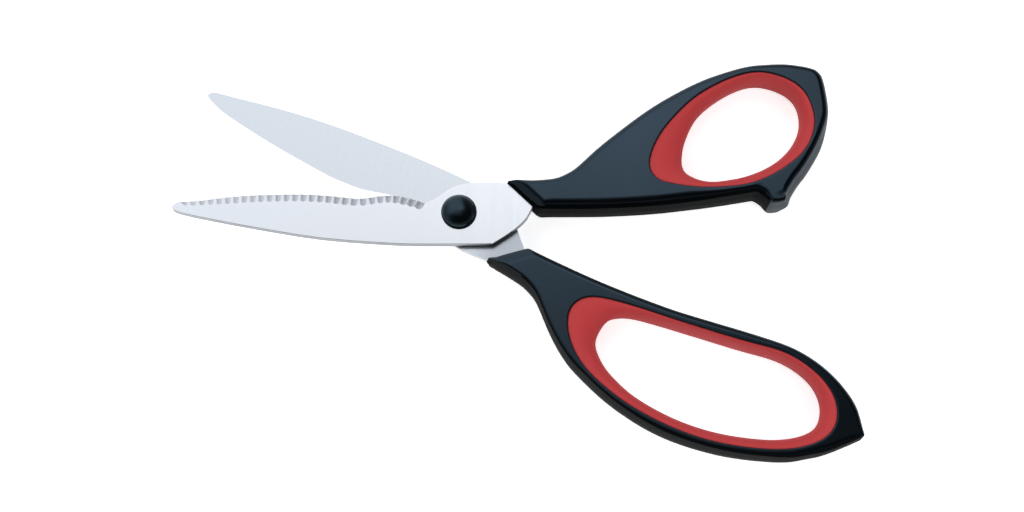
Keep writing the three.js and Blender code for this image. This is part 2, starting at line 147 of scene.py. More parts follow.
def tidyLoop(loop, spacing, soften=0, cornerTurn=outlineMake["corner"]):  # faceted outline to a smooth one
    for straight in outlineMake["straight"]:
        loop = loop[np.abs(turnAngles(loop)) > straight]
    corners = np.flatnonzero(np.abs(turnAngles(loop)) > cornerTurn)
    if len(corners) == 0:  # run a little past the start, then cut where it comes round again
        past = np.vstack([loop[-1:], loop, loop[:2]])
        dense = curveThrough(past, spacing / outlineMake["ringSteps"])
        toStart = np.hypot(*(dense - loop[0]).T)
        half = len(dense) // 2
        ring = dense[np.argmin(toStart[:half]):half + np.argmin(toStart[half:])]
        smooth = evenSteps(np.vstack([ring, ring[:1]]), spacing)
    else:
        loop = np.roll(loop, -corners[0], 0)
        corners = list(corners - corners[0]) + [len(loop)]
        wrapped = np.vstack([loop, loop[:1]])
        smooth = np.vstack([curveThrough(wrapped[a:b + 1], spacing) for a, b in zip(corners, corners[1:])])
    return evened(smooth, soften)


def inwardNormals(loop):
    along = np.roll(loop, -1, 0) - np.roll(loop, 1, 0)
    along /= np.hypot(*along.T)[:, None]
    return np.column_stack([-along[:, 1], along[:, 0]])


def roomInside(loop, inward):  # radius of the largest circle inside that touches each point
    tiny, boundless = 1e-6, 1e6
    away = loop[None] - loop[:, None]
    across = np.einsum("ijk,ik->ij", away, inward)
    radius = (away ** 2).sum(2) / (2 * np.maximum(across, tiny))
    return np.where(across > tiny, radius, boundless).min(1)


def nearestGap(points, loop):  # how far each point is from the nearest point of an outline
    return np.array([np.hypot(*(loop - p).T).min() for p in points])


def onLevel(loop, height):
    return np.column_stack([loop, np.broadcast_to(height, len(loop))])


# meshes

pieceWeld = 0.002  # mm, joins the points of a finished piece


def addStack(bm, rings, loopBack=False, layer=None, marks=()):  # quads between closed rings
    rows = [[bm.verts.new(point) for point in ring] for ring in rings]
    for row, mark in zip(rows, marks):
        for vert, value in zip(row, np.broadcast_to(mark, len(row))):
            vert[layer] = value
    pairs = list(zip(rows, rows[1:])) + ([(rows[-1], rows[0])] if loopBack else [])
    for low, high in pairs:
        for i in range(len(low)):
            j = (i + 1) % len(low)
            bm.faces.new((low[i], low[j], high[j], high[i]))
    return rows[0], rows[-1]


def fillFlat(bm, row):  # flat face inside a closed row
    edges = [bm.edges.get((row[i - 1], row[i])) for i in range(len(row))]
    bmesh.ops.triangle_fill(bm, use_beauty=True, use_dissolve=False, edges=edges)


def shadeMesh(mesh, sharpAngle):
    mesh.shade_smooth()
    mesh.set_sharp_from_angle(angle=math.radians(sharpAngle))


def meshFrom(bm, name, sharpAngle):  # built in mm, kept in metres
    bmesh.ops.remove_doubles(bm, verts=bm.verts, dist=pieceWeld)
    bmesh.ops.recalc_face_normals(bm, faces=bm.faces)
    bm.transform(Matrix.Scale(mm, 4))
    mesh = bpy.data.meshes.new(name)
    bm.to_mesh(mesh)
    bm.free()
    shadeMesh(mesh, sharpAngle)
    return mesh


def addObject(name, data):
    thing = bpy.data.objects.new(name, data)
    bpy.context.scene.collection.objects.link(thing)
    return thing


def addPiece(name, mesh, materials, body, node):
    piece = addObject(name, mesh)
    if mesh.materials:  # clearing would also reset which face has which
        mesh.materials.clear()
    for material in materials:
        mesh.materials.append(material)
    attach(piece, body)
    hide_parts(node)
    print("piece", name, len(mesh.polygons), "faces")


# finishes

def newGroup(name, inputs, outputs):
    group = bpy.data.node_groups.new(name, "ShaderNodeTree")
    for label, kind, value in inputs:
        group.interface.new_socket(label, in_out="INPUT", socket_type=kind).default_value = value
    for label in outputs:
        group.interface.new_socket(label, in_out="OUTPUT", socket_type="NodeSocketFloat")
    return group, group.nodes.new("NodeGroupInput").outputs, group.nodes.new("NodeGroupOutput").inputs


def feed(tree, socket, value):  # a link or a plain value
    if isinstance(value, bpy.types.NodeSocket):
        tree.links.new(value, socket)
    else:
        socket.default_value = value


def addMath(tree, operation, first, second):
    node = tree.nodes.new("ShaderNodeMath")
    node.operation = operation
    feed(tree, node.inputs[0], first)
    feed(tree, node.inputs[1], second)
    return node.outputs[0]


def addMix(tree, factor, first, second):
    node = tree.nodes.new("ShaderNodeMix")
    node.data_type = "RGBA"
    for label, value in (("Factor", factor), ("A", first), ("B", second)):
        feed(tree, node.inputs[label], value)
    return node.outputs["Result"]


def addNoise(tree, vector, scale, detail, roughness=0.55):
    node = tree.nodes.new("ShaderNodeTexNoise")
    feed(tree, node.inputs["Vector"], vector)
    for label, value in (("Scale", scale), ("Detail", detail), ("Roughness", roughness)):
        feed(tree, node.inputs[label], value)
    return node.outputs["Fac"]


def unevenRoughness(group, given, noise, result):  # roughness that follows a noise about its middle
    uneven = addMath(group, "MULTIPLY", addMath(group, "SUBTRACT", noise, 0.5), given["Spread"])
    group.links.new(addMath(group, "ADD", uneven, given["Roughness"]), result["Roughness"])


def mouldedGrain():  # fine pebbled skin and broad unevenness of moulded parts
    group, given, result = newGroup(
        "mouldedGrain",
        [("Grain Scale", "NodeSocketFloat", 2600), ("Patch Scale", "NodeSocketFloat", 45),
         ("Roughness", "NodeSocketFloat", 0.4), ("Spread", "NodeSocketFloat", 0.08)],
        ["Roughness", "Patches", "Height"])
    place = group.nodes.new("ShaderNodeTexCoord").outputs["Object"]
    grain = addNoise(group, place, given["Grain Scale"], detail=2.0)
    patches = addNoise(group, place, given["Patch Scale"], detail=3.0)
    unevenRoughness(group, given, patches, result)
    group.links.new(patches, result["Patches"])
    group.links.new(grain, result["Height"])
    return group


def grindLines():  # parallel scratches of a belt, run across the stretched direction
    group, given, result = newGroup(
        "grindLines",
        [("Turn", "NodeSocketVector", (0, 0, 0)), ("Stretch", "NodeSocketVector", (1, 1, 1)),
         ("Roughness", "NodeSocketFloat", 0.3), ("Spread", "NodeSocketFloat", 0.2)],
        ["Roughness", "Lines", "Height"])
    place = group.nodes.new("ShaderNodeTexCoord").outputs["Object"]
    turn = group.nodes.new("ShaderNodeMapping")
    stretch = group.nodes.new("ShaderNodeVectorMath")
    stretch.operation = "MULTIPLY"
    group.links.new(place, turn.inputs["Vector"])
    group.links.new(given["Turn"], turn.inputs["Rotation"])
    group.links.new(turn.outputs[0], stretch.inputs[0])
    group.links.new(given["Stretch"], stretch.inputs[1])
    lines = addNoise(group, stretch.outputs[0], 1.0, detail=5.0, roughness=0.62)
    unevenRoughness(group, given, lines, result)
    group.links.new(lines, result["Lines"])
    group.links.new(lines, result["Height"])
    return group


def newFinish(name, group, groupValues, colours, mixBy, bump, settings):  # bump is strength and depth in m
    material = bpy.data.materials.new(name)
    material.use_nodes = True
    tree = material.node_tree
    shader = tree.nodes["Principled BSDF"]
    for label, value in settings.items():
        shader.inputs[label].default_value = value
    effect = tree.nodes.new("ShaderNodeGroup")
    effect.node_tree = group
    for label, value in groupValues.items():
        effect.inputs[label].default_value = value
    relief = tree.nodes.new("ShaderNodeBump")
    relief.inputs["Strength"].default_value, relief.inputs["Distance"].default_value = bump
    tree.links.new(addMix(tree, effect.outputs[mixBy], *colours), shader.inputs["Base Color"])
    tree.links.new(effect.outputs["Roughness"], shader.inputs["Roughness"])
    tree.links.new(effect.outputs["Height"], relief.inputs["Height"])
    tree.links.new(relief.outputs["Normal"], shader.inputs["Normal"])
    return material


def mattWhere(material, attribute, extra, colour=None):  # duller where an attribute of the mesh says so
    tree = material.node_tree
    shader = tree.nodes["Principled BSDF"]
    node = tree.nodes.new("ShaderNodeAttribute")
    node.attribute_name = attribute
    mark = node.outputs["Fac"]
    smooth = shader.inputs["Roughness"].links[0].from_socket
    added = addMath(tree, "MULTIPLY", mark, extra)
    tree.links.new(addMath(tree, "ADD", smooth, added), shader.inputs["Roughness"])
    if colour:
        clean = shader.inputs["Base Color"].links[0].from_socket
        tree.links.new(addMix(tree, mark, clean, colour), shader.inputs["Base Color"])


def mouldedFinish(name, grain, colours, bump, settings):  # grain holds the values in this order
    values = dict(zip(("Grain Scale", "Patch Scale", "Roughness", "Spread"), grain))
    return newFinish(name, mouldedGroup, values, colours, "Patches", bump, settings)


def groundFinish(name, turn, lines, colours, bump):  # turn in degrees, lines holds the rest in this order
    values = {"Turn": (0, 0, math.radians(turn))}
    values.update(zip(("Stretch", "Roughness", "Spread"), lines))
    return newFinish(name, grindGroup, values, colours, "Lines", bump, {"Metallic": 1.0})


mouldedGroup = mouldedGrain()
grindGroup = grindLines()

blackPlastic = mouldedFinish(
    "blackPlastic", (2400, 60, 0.19, 0.05), (srgb(3, 4, 5), srgb(6, 8, 10)), (0.05, 0.00006),
    {"IOR": 1.58, "Specular Tint": (0.5, 0.76, 1.0, 1)})
mattWhere(blackPlastic, "wall", 0.4)

mattShadedPlastic = mouldedFinish(  # side walls of the handles that face the front: a matt, darker and barely reflecting copy of the black plastic, painted shade
    "mattShadedPlastic", (1700, 60, 0.62, 0.08), (srgb(1, 2, 2), srgb(3, 4, 5)), (0.12, 0.00008),
    {"IOR": 1.1, "Specular Tint": (0.62, 0.84, 1.0, 1)})

capPlastic = mouldedFinish(
    "capPlastic", (3000, 120, 0.25, 0.04), (srgb(2, 3, 4), srgb(4, 5, 7)), (0.03, 0.00004),
    {"IOR": 1.62, "Specular Tint": (0.5, 0.8, 1.0, 1)})

redRubber = mouldedFinish(
    "redRubber", (2000, 50, 0.66, 0.08), (srgb(176, 56, 58), srgb(183, 62, 64)), (0.08, 0.00008),
    {"IOR": 1.3})

nylonFinish = mouldedFinish(
    "nylonFinish", (2200, 90, 0.48, 0.1), (srgb(224, 220, 208), srgb(236, 233, 224)), (0.05, 0.00005),
    {"IOR": 1.53})

frontSteel = groundFinish(
    "frontSteel", 0, ((900, 60, 60), 0.25, 0.1),
    (srgb(224, 226, 229), srgb(232, 234, 237)), (0.04, 0.00005))
mattWhere(frontSteel, "flute", 0.4, srgb(220, 223, 228))  # left dull by the grinding wheel
mattWhere(frontSteel, "spine", 0.35, srgb(165, 168, 173))  # duller spine wall, coloured darker as painted shade for the dark reflection and shadow along the blade's lower edge

beltSlant = 12  # degrees, the belt ran a little off square on the rear blade
rearSteel = groundFinish(
    "rearSteel", restOpening - beltSlant, ((1600, 70, 70), 0.27, 0.04),
    (srgb(213, 217, 221), srgb(217, 221, 225)), (0.006, 0.00005))
mattWhere(rearSteel, "tang", 0.08, srgb(205, 210, 216))  # darker and duller towards the tang
# painted shade: the rear blade's spine wall is coloured a little darker, as on the front blade
mattWhere(rearSteel, "spine", 0.2, srgb(205, 208, 212))

turnedSteel = groundFinish(
    "turnedSteel", 0, ((300, 300, 2500), 0.34, 0.2),
    (srgb(190, 192, 196), srgb(206, 208, 211)), (0.05, 0.00004))
print("finishes made")


# handles, worked out as when the scissors are closed

thumbHandle = {
    "node": "thumb_handle", "section": 0.25, "turn": 0, "body": "serrated_half",
    "endTop": (12.4, 8.9), "endFoot": (21.5, 0.1),  # corners of the end that the blade comes out of
    "endHeight": 9.5, "endWidth": 2.9, "endRolled": False, "endSoft": 0.6,
    "edgeRound": 0.9, "upperRound": 1.5,
    "underRound": 2.6, "underStart": 38, "underChamfer": 1.0, "underSpan": (16, 22, 84, 89),
    "sideRound": 1.9, "sideBulge": 0.35, "sideLean": 0.27, "sideFrom": (87, 90), "leanFade": (18, 32),
    "mattShadeUntil": 87,
    "softBox": (84, 96, -5, 7), "softPasses": 8,  # corners of the nub
}
fingerHandle = {
    "node": "finger_handle", "section": 0.75, "turn": restOpening, "body": "plain_half",
    "endTop": (21.3, -1.9), "endFoot": (12.4, -9.3),
    "endHeight": 9.0, "endWidth": 4.0, "endRolled": True, "endSoft": 0.1,
    "edgeRound": 0.9, "upperRound": 1.5,
    "underRound": 2.0, "underStart": 0, "underChamfer": 0, "underSpan": (60, 85, 200, 210),
    "sideRound": 0.9, "sideBulge": 0, "sideLean": 0, "sideFrom": (200, 210), "leanFade": (0, 1),
    "mattShadeUntil": 200,
    "softBox": (0, 0, 0, 0), "softPasses": 0,
}
handleMake = {
    "step": 0.4, "soften": 2, "wallRows": 4, "roundSteps": 8, "flatBand": 0.3, "sharp": 30,
    "rimRound": 0.2, "rimSteps": 4,  # edge of the pocket
    "draft": 0.0625, "endDraft": 0.1875,  # lean of the walls, mm for each mm of height
    "endNear": (1.5, 0.4),  # mm from the end where its own lean starts and is full
    # how squarely a wall has to face that way, 1 at most
    "underFacing": (0.3, 0.9), "aboveFacing": (0.3, 0.8), "sideFacing": (0.2, 0.7),
    "roomShare": 0.95, "roundShare": 0.8, "pocketGap": 0.2, "leastRoom": 0.1, "roomReach": 2,
    "evenPasses": 12,
    "wallFade": (15, 60),  # degrees of the rounding over which the wall's finish ends
    "mattShadeFacing": 0.15, "mattShadeWall": 0.1, "mattShadeEndWall": 0.7, "endZone": 24,
}
endGrid = {"past": 8, "along": 0.4, "first": 0.2, "beyond": 1.6, "across": 0.16, "gap": 0.14}


def distanceToLine(points, start, stop):
    start, stop = np.asarray(start, float), np.asarray(stop, float)
    run = stop - start
    share = np.clip(((points - start) @ run) / (run @ run), 0, 1)
    return np.hypot(*(points - start - share[:, None] * run).T)


def insideLoop(points, loop):
    x, y = points[:, 0, None], points[:, 1, None]
    a, b = loop, np.roll(loop, -1, 0)
    level = (a[:, 1] > y) != (b[:, 1] > y)
    rise = np.where(level, b[:, 1] - a[:, 1], 1)
    crossing = a[:, 0] + (y - a[:, 1]) / rise * (b[:, 0] - a[:, 0])
    return (level & (x < crossing)).sum(1) % 2 == 1


def softMin(first, second, size):
    share = np.clip(0.5 + (second - first) / (2 * size), 0, 1)
    return second + (first - second) * share - size * share * (1 - share)


def endLine(shape):  # start and length of the end, the way along it and the way into the handle
    start, stop = np.array(shape["endTop"]), np.array(shape["endFoot"])
    length = np.hypot(*(stop - start))
    run = (stop - start) / length
    return start, length, run, np.array([-run[1], run[0]])


def cutEnd(ring, shape):  # lowers what stands above the cut-back or rolled end
    start, _, _, inward = endLine(shape)
    share = (ring[:, :2] - start) @ inward / shape["endWidth"]
    slope = share
    if shape["endRolled"]:
        slope = np.where(share < 1, np.sqrt(np.maximum(1 - np.clip(1 - share, 0, 1) ** 2, 0)), share)
    limit = shape["endHeight"] + (thickness - shape["endHeight"]) * slope
    height = softMin(ring[:, 2], limit, shape["endSoft"])
    near = share < 3  # further in, the limit is far above the face
    return np.column_stack([ring[:, :2], np.where(near & (ring[:, 2] > middle), height, ring[:, 2])])


def endPoints(shape, border):  # extra points of the face near the end, in rows along it
    start, length, run, inward = endLine(shape)
    along = np.arange(-endGrid["past"], length + endGrid["past"], endGrid["along"])
    across = np.arange(endGrid["first"], shape["endWidth"] + endGrid["beyond"], endGrid["across"])
    along, across = np.meshgrid(along, across)
    points = start + along.reshape(-1, 1) * run + across.reshape(-1, 1) * inward
    points = points[insideLoop(points, border)]
    return points[nearestGap(points, border) > endGrid["gap"]]


def faceBetween(bm, outerRow, rimRow, extra, place):  # flat face with extra points in it
    rows = outerRow + rimRow
    flat = [Vector(v.co.xy) for v in rows] + [Vector(p) for p in extra]
    edges = [(i, (i + 1) % len(outerRow)) for i in range(len(outerRow))]
    edges += [(len(outerRow) + i, len(outerRow) + (i + 1) % len(rimRow)) for i in range(len(rimRow))]
    sameSpot, keepInside = 1e-5, 1
    points, _, triangles, came, _, _ = geometry.delaunay_2d_cdt(flat, edges, [], keepInside, sameSpot)
    rim = np.array([v.co.xy for v in rimRow])
    verts = []
    for point, source in zip(points, came):
        known = [k for k in source if k < len(rows)]
        verts.append(rows[known[0]] if known else bm.verts.new(place(np.array([point]))[0]))
    centres = np.array([np.mean([points[k] for k in tri], 0) for tri in triangles])
    for tri, hole in zip(triangles, insideLoop(centres, rim)):
        if not hole and len({verts[k] for k in tri}) == 3:
            bm.faces.new([verts[k] for k in tri])


def handleOutlines(shape):  # outer outline and pocket
    make = handleMake
    loops = sectionLoops(shape["node"], thickness * shape["section"])
    outer = turned(tidyLoop(loops[0], make["step"], make["soften"]), shape["turn"])
    left, right, low, high = shape["softBox"]
    within = (outer[:, 0] > left) & (outer[:, 0] < right) & (outer[:, 1] > low) & (outer[:, 1] < high)
    for _ in range(shape["softPasses"]):
        outer = np.where(within[:, None], evened(outer, 1), outer)
    return outer, turned(tidyLoop(loops[1], make["step"]), shape["turn"])


def edgeRoom(outer, inward, pocket):  # how far in the rounded edge may go at each point
    make = handleMake
    toPocket = nearestGap(outer, pocket) - make["rimRound"] - make["flatBand"] - make["pocketGap"]
    toPocket = np.maximum(toPocket, make["leastRoom"])
    room = np.minimum(roomInside(outer, inward) * make["roomShare"], toPocket)
    near = range(-make["roomReach"], make["roomReach"] + 1)
    return np.minimum.reduce([np.roll(room, k) for k in near])  # so that no inset ring crosses itself


def edgeLevels(shape, outer, inward, room):  # depth, height and wall mark of the rings, mid wall to face
    make = handleMake
    x, y = outer.T
    span, base = shape["underSpan"], shape["edgeRound"]
    under = blendStep(*make["underFacing"], inward[:, 1]) * blendStep(*span[:2], x)
    under = under * (1 - blendStep(*span[2:], x))
    above = blendStep(*make["aboveFacing"], -inward[:, 1])
    side = blendStep(*make["sideFacing"], -inward[:, 0]) * blendStep(*shape["sideFrom"], x)
    radius = base + (shape["underRound"] - base) * under + (shape["upperRound"] - base) * above
    radius = np.maximum(radius, base + (shape["sideRound"] - base) * side)
    radius = evened(np.minimum(radius, make["roundShare"] * room), make["evenPasses"])
    atEnd = blendStep(*make["endNear"], distanceToLine(outer, shape["endTop"], shape["endFoot"]))
    draft = make["draft"] + (make["endDraft"] - make["draft"]) * atEnd
    leaning = evened(side * (1 - blendStep(*shape["leanFade"], y)), make["evenPasses"])
    foot = -shape["sideBulge"] * leaning - draft * thickness / 4  # the section lies a quarter off mid wall
    topLean = draft + shape["sideLean"] * leaning
    start = np.radians(shape["underStart"]) * under  # where the rounding leaves the wall or the chamfer
    chamfer = shape["underChamfer"] * under
    wallTop = thickness - radius * (1 - np.sin(start)) - chamfer * np.cos(start)

    levels = []
    for share in np.linspace(0, 1, make["wallRows"] + 1):
        rise = (wallTop - middle) * share
        levels.append((foot + (draft + (topLean - draft) * share) * rise, middle + rise, 1))
    edge = levels[-1][0] + chamfer * np.sin(start)
    for step in np.linspace(0, 1, make["roundSteps"] + 1):
        angle = start + (quarterTurn - start) * step
        depth = edge + radius * (np.cos(start) - np.cos(angle))
        onWall = 1 - blendStep(*make["wallFade"], np.degrees(angle))
        levels.append((depth, thickness - radius * (1 - np.sin(angle)), onWall))
    levels.append((levels[-1][0] + make["flatBand"], thickness, 0))
    return levels


def pocketRings(pocket):  # face, rounded edge and wall of the pocket
    make = handleMake
    outward = -inwardNormals(pocket)
    rim = make["rimRound"]
    path = [(rim + make["flatBand"], thickness)]
    for angle in np.linspace(0, quarterTurn, make["rimSteps"] + 1):
        path.append((rim * (1 - math.sin(angle)), thickness - rim * (1 - math.cos(angle))))
    return [onLevel(pocket + outward * depth, height) for depth, height in path]


def markMattShade(bm, layer, shape):  # darker, duller second finish on the walls that face the front of the table, as painted shade
    make = handleMake
    bmesh.ops.recalc_face_normals(bm, faces=bm.faces)
    bm.normal_update()
    for face in bm.faces:
        onWall = sum(vert[layer] for vert in face.verts) / len(face.verts)
        facing = face.normal.xy
        across = face.calc_center_median().x
        least = make["mattShadeWall"] if across > make["endZone"] else make["mattShadeEndWall"]
        forward = facing.y < -make["mattShadeFacing"] * facing.length
        if onWall > least and forward and across < shape["mattShadeUntil"]:
            face.material_index = 1


def makeHandle(shape, name):
    outer, pocket = handleOutlines(shape)
    inward = inwardNormals(outer)
    room = edgeRoom(outer, inward, pocket)
    depths, heights, marks = zip(*edgeLevels(shape, outer, inward, room))
    inset = [outer + inward * np.minimum(depth, room)[:, None] for depth in depths]
    upper = [cutEnd(onLevel(loop, height), shape) for loop, height in zip(inset, heights)]
    inside = pocketRings(pocket)
    extra = endPoints(shape, inset[-1])

    def flip(ring):
        return ring * (1, 1, -1) + (0, 0, thickness)

    def placeFront(points):
        return cutEnd(onLevel(points, thickness), shape)

    def placeBack(points):
        return flip(placeFront(points))

    bm = bmesh.new()
    layer = bm.verts.layers.float.new("wall")
    wholeWall = [flip(ring) for ring in upper[:0:-1]] + upper
    outerBack, outerFront = addStack(bm, wholeWall, layer=layer, marks=marks[:0:-1] + marks)
    rimFront, rimBack = addStack(bm, inside + [flip(ring) for ring in inside[::-1]])
    faceBetween(bm, outerFront, rimFront, extra, placeFront)
    faceBetween(bm, outerBack, rimBack, extra, placeBack)
    markMattShade(bm, layer, shape)
    bmesh.ops.rotate(bm, verts=bm.verts, matrix=Matrix.Rotation(math.radians(-shape["turn"]), 3, "Z"))
    mesh = meshFrom(bm, name, handleMake["sharp"])
    addPiece(name, mesh, [blackPlastic, mattShadedPlastic], shape["body"], shape["node"])


makeHandle(thumbHandle, "thumbHandle")
makeHandle(fingerHandle, "fingerHandle")


# soft grips

thumbGrip = {"node": "thumb_grip", "handle": thumbHandle}
fingerGrip = {"node": "finger_grip", "handle": fingerHandle}
gripMake = {
    "step": 0.5, "eyeLevel": 0.03, "eyeSoften": 8,  # the eye is read just above its middle
    "sunk": 0.05, "recess": 0.4, "shoulder": 0.25, "shoulderSteps": 5, "lip": 0.3, "beadSteps": 30,
    "sharp": 60,
}


def crossingOf(start, direction, loop):  # where rays from the eye first meet the pocket
    a, b = loop, np.roll(loop, -1, 0)
    run = b - a
    hits = []
    for p, d in zip(start, direction):
        bottom = d[0] * run[:, 1] - d[1] * run[:, 0]
        away = a - p
        t = (away[:, 0] * run[:, 1] - away[:, 1] * run[:, 0]) / bottom
        u = (away[:, 0] * d[1] - away[:, 1] * d[0]) / bottom
        t = np.where((u >= 0) & (u <= 1) & (t > 0), t, np.inf)
        hits.append(p + d * t.min())
    return np.array(hits)


def makeGrip(shape, name):
    make = gripMake
    handle = shape["handle"]
    pocket = tidyLoop(sectionLoops(handle["node"], thickness * handle["section"])[1], make["step"])
    eye = sectionLoops(shape["node"], middle + make["eyeLevel"])[1]
    eye = tidyLoop(eye, make["step"], make["eyeSoften"])
    outward = -inwardNormals(eye)
    wall = crossingOf(eye, outward, pocket) + outward * make["sunk"]  # moulded on, so no gap is left
    reach = np.hypot(*(eye - wall).T)
    top = thickness - make["recess"]
    shoulder, lip = make["shoulder"], make["lip"]

    path = [(0, top - shoulder)]  # depth from the wall and height, from mid wall to mid bead
    for angle in np.linspace(0, quarterTurn, make["shoulderSteps"])[1:]:
        path.append((shoulder * (1 - math.cos(angle)), top - shoulder * (1 - math.sin(angle))))
    for angle in np.linspace(quarterTurn, 0, make["beadSteps"] // 2 + 1):
        path.append((lip + (reach - lip) * math.cos(angle), middle + (top - middle) * math.sin(angle)))
    path += [(depth, thickness - height) for depth, height in path[-2::-1]]
    rings = []
    for depth, height in path:
        rings.append(onLevel(wall - outward * np.broadcast_to(depth, len(wall))[:, None], height))
    bm = bmesh.new()
    addStack(bm, rings, loopBack=True)
    mesh = meshFrom(bm, name, make["sharp"])
    addPiece(name, mesh, [redRubber], handle["body"], shape["node"])


makeGrip(thumbGrip, "thumbGrip")
makeGrip(fingerGrip, "fingerGrip")


# blades, worked out as when the scissors are closed

frontBlade = {
    "node": "serrated_blade", "turn": 0, "body": "serrated_half", "inner": "low", "edgeSide": 1,
    "edgeSpan": (-79.0, -9.3), "bevel": 2.4, "land": 0.7, "edgeStep": 0.12,
    "tipPull": 0.62, "tipSpan": (-63, -76), "tipRise": (-0.2, 3.0), "tipGrow": 0,
}
rearBlade = {
    "node": "plain_blade", "turn": restOpening, "body": "plain_half", "inner": "high", "edgeSide": -1,
    "edgeSpan": (-78.6, -13.7), "bevel": 1.9, "land": 0.5, "edgeStep": 0.5,
    "tipPull": 0.7, "tipSpan": (-74.5, -79), "tipRise": (-3.5, -1.2), "tipGrow": 0.4,
}
bladeMake = {
    "step": 0.5, "soften": 2, "corner": 28, "landParts": 12, "edgeFacing": 0.3, "roomShare": 0.9,
    "sharp": 30,
    "fadeIn": 0.6, "fadeOut": 2.4,  # where the bevel starts and ends, as the outline runs
    "spineRound": 0.16, "roundShares": (0, 0.1, 0.3, 0.6, 1),
    "spineStart": 0.02, "spineRings": (1, 2),  # rings that show the sheared spine wall, coloured darker on the steels as painted shade
    "bevelRows": 30, "beyond": 0.7, "flatRows": (0.3, 0.6),
    "tangFrom": (6, 15),
}
serration = {
    "pitch": 2.39, "radius": 1.9, "depth": 0.25, "reach": 2.5, "margin": 0.15,
    "topMargin": 0.3, "dullShare": 0.4,  # what counts as the bevel, and the depth at which it is fully dull
}


def groundTip(loop, shape):  # the edge runs straighter into the point than in the solid
    near = blendStep(*shape["tipSpan"], loop[:, 0])
    pull = shape["tipPull"] * near * blendStep(*shape["tipRise"], loop[:, 1] * shape["edgeSide"])
    return loop - np.column_stack([shape["tipGrow"] * near, shape["edgeSide"] * pull])


def bladeOutline(shape, height):  # starts with the ground edge, which has the finer steps
    make = bladeMake
    loop = sectionLoops(shape["node"], height)[0]
    loop = turned(tidyLoop(loop, shape["edgeStep"], make["soften"], make["corner"]), shape["turn"])
    loop = groundTip(loop, shape)
    left, right = shape["edgeSpan"]
    facing = -inwardNormals(loop)[:, 1] * shape["edgeSide"]
    onEdge = (loop[:, 0] > left) & (loop[:, 0] < right) & (facing > make["edgeFacing"])
    keep = onEdge | (np.arange(len(loop)) % max(1, round(make["step"] / shape["edgeStep"])) == 0)
    loop, onEdge = loop[keep], onEdge[keep]
    first = np.flatnonzero(onEdge & ~np.roll(onEdge, 1))[0]
    return np.roll(loop, -first, 0), np.roll(onEdge, -first)


def makeBladeMesh(shape, name):
    make = bladeMake
    low, high = (corner.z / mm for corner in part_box(shape["node"]))
    innerHeight, up = (low, 1) if shape["inner"] == "low" else (high, -1)
    full = high - low
    belowFlutes = innerHeight + up * shape["land"] / make["landParts"]
    loop, onEdge = bladeOutline(shape, belowFlutes)
    inward = inwardNormals(loop)
    steps = np.hypot(*(np.roll(loop, -1, 0) - loop).T)
    along = np.where(onEdge, np.concatenate([[0], np.cumsum(steps)[:-1]]), -1)
    run = along.max()
    ground = blendStep(0, make["fadeIn"], along) * blendStep(0, make["fadeOut"], run - along)

    rise = (full - shape["land"]) / shape["bevel"]  # steepness of the bevel
    fillet = make["spineRound"]
    rows = [fillet * share for share in make["roundShares"]]
    rows += list(np.linspace(fillet, shape["bevel"] + make["beyond"], make["bevelRows"])[1:])
    rows += [rows[-1] + more for more in make["flatRows"]]
    room = roomInside(loop, inward) * make["roomShare"]
    squeeze = np.minimum(1, room / rows[-1])  # narrow towards the tip
    bevel = shape["bevel"] * np.where(onEdge, ground, 0) * squeeze
    depths = [0 * squeeze] * 2 + [row * squeeze for row in rows]
    heights = [0, make["spineStart"]]
    for depth in depths[2:]:
        bevelDrop = rise * np.maximum(bevel - depth, 0)
        filletDrop = fillet * (1 - np.sqrt(1 - (1 - np.clip(depth / fillet, 0, 1)) ** 2))
        heights.append(full - np.maximum(bevelDrop, filletDrop))
    rings = []
    for depth, height in zip(depths, heights):
        flat = turned(loop + inward * depth[:, None], -shape["turn"])
        rings.append(onLevel(flat, innerHeight + up * height))

    bm = bmesh.new()
    edgeLayer = bm.verts.layers.float.new("alongEdge")
    depthLayer = bm.verts.layers.float.new("fromEdge")
    landLayer = bm.verts.layers.float.new("landHeight")
    tangLayer = bm.verts.layers.float.new("tang")
    spineLayer = bm.verts.layers.float.new("spine")
    tang = blendStep(*make["tangFrom"], loop[:, 0])
    bottom, top = addStack(bm, rings)
    bm.verts.ensure_lookup_table()
    for k, depth in enumerate(depths):
        for i in range(len(loop)):
            vert = bm.verts[k * len(loop) + i]
            vert[edgeLayer] = along[i] * mm if along[i] >= 0 else -1
            vert[depthLayer] = depth[i] * mm
            vert[landLayer] = (innerHeight + full - rise * bevel[i]) * mm
            vert[tangLayer] = tang[i]
            vert[spineLayer] = 1 if k in make["spineRings"] else 0
    fillFlat(bm, bottom)
    fillFlat(bm, top)
    return meshFrom(bm, name, make["sharp"]), run


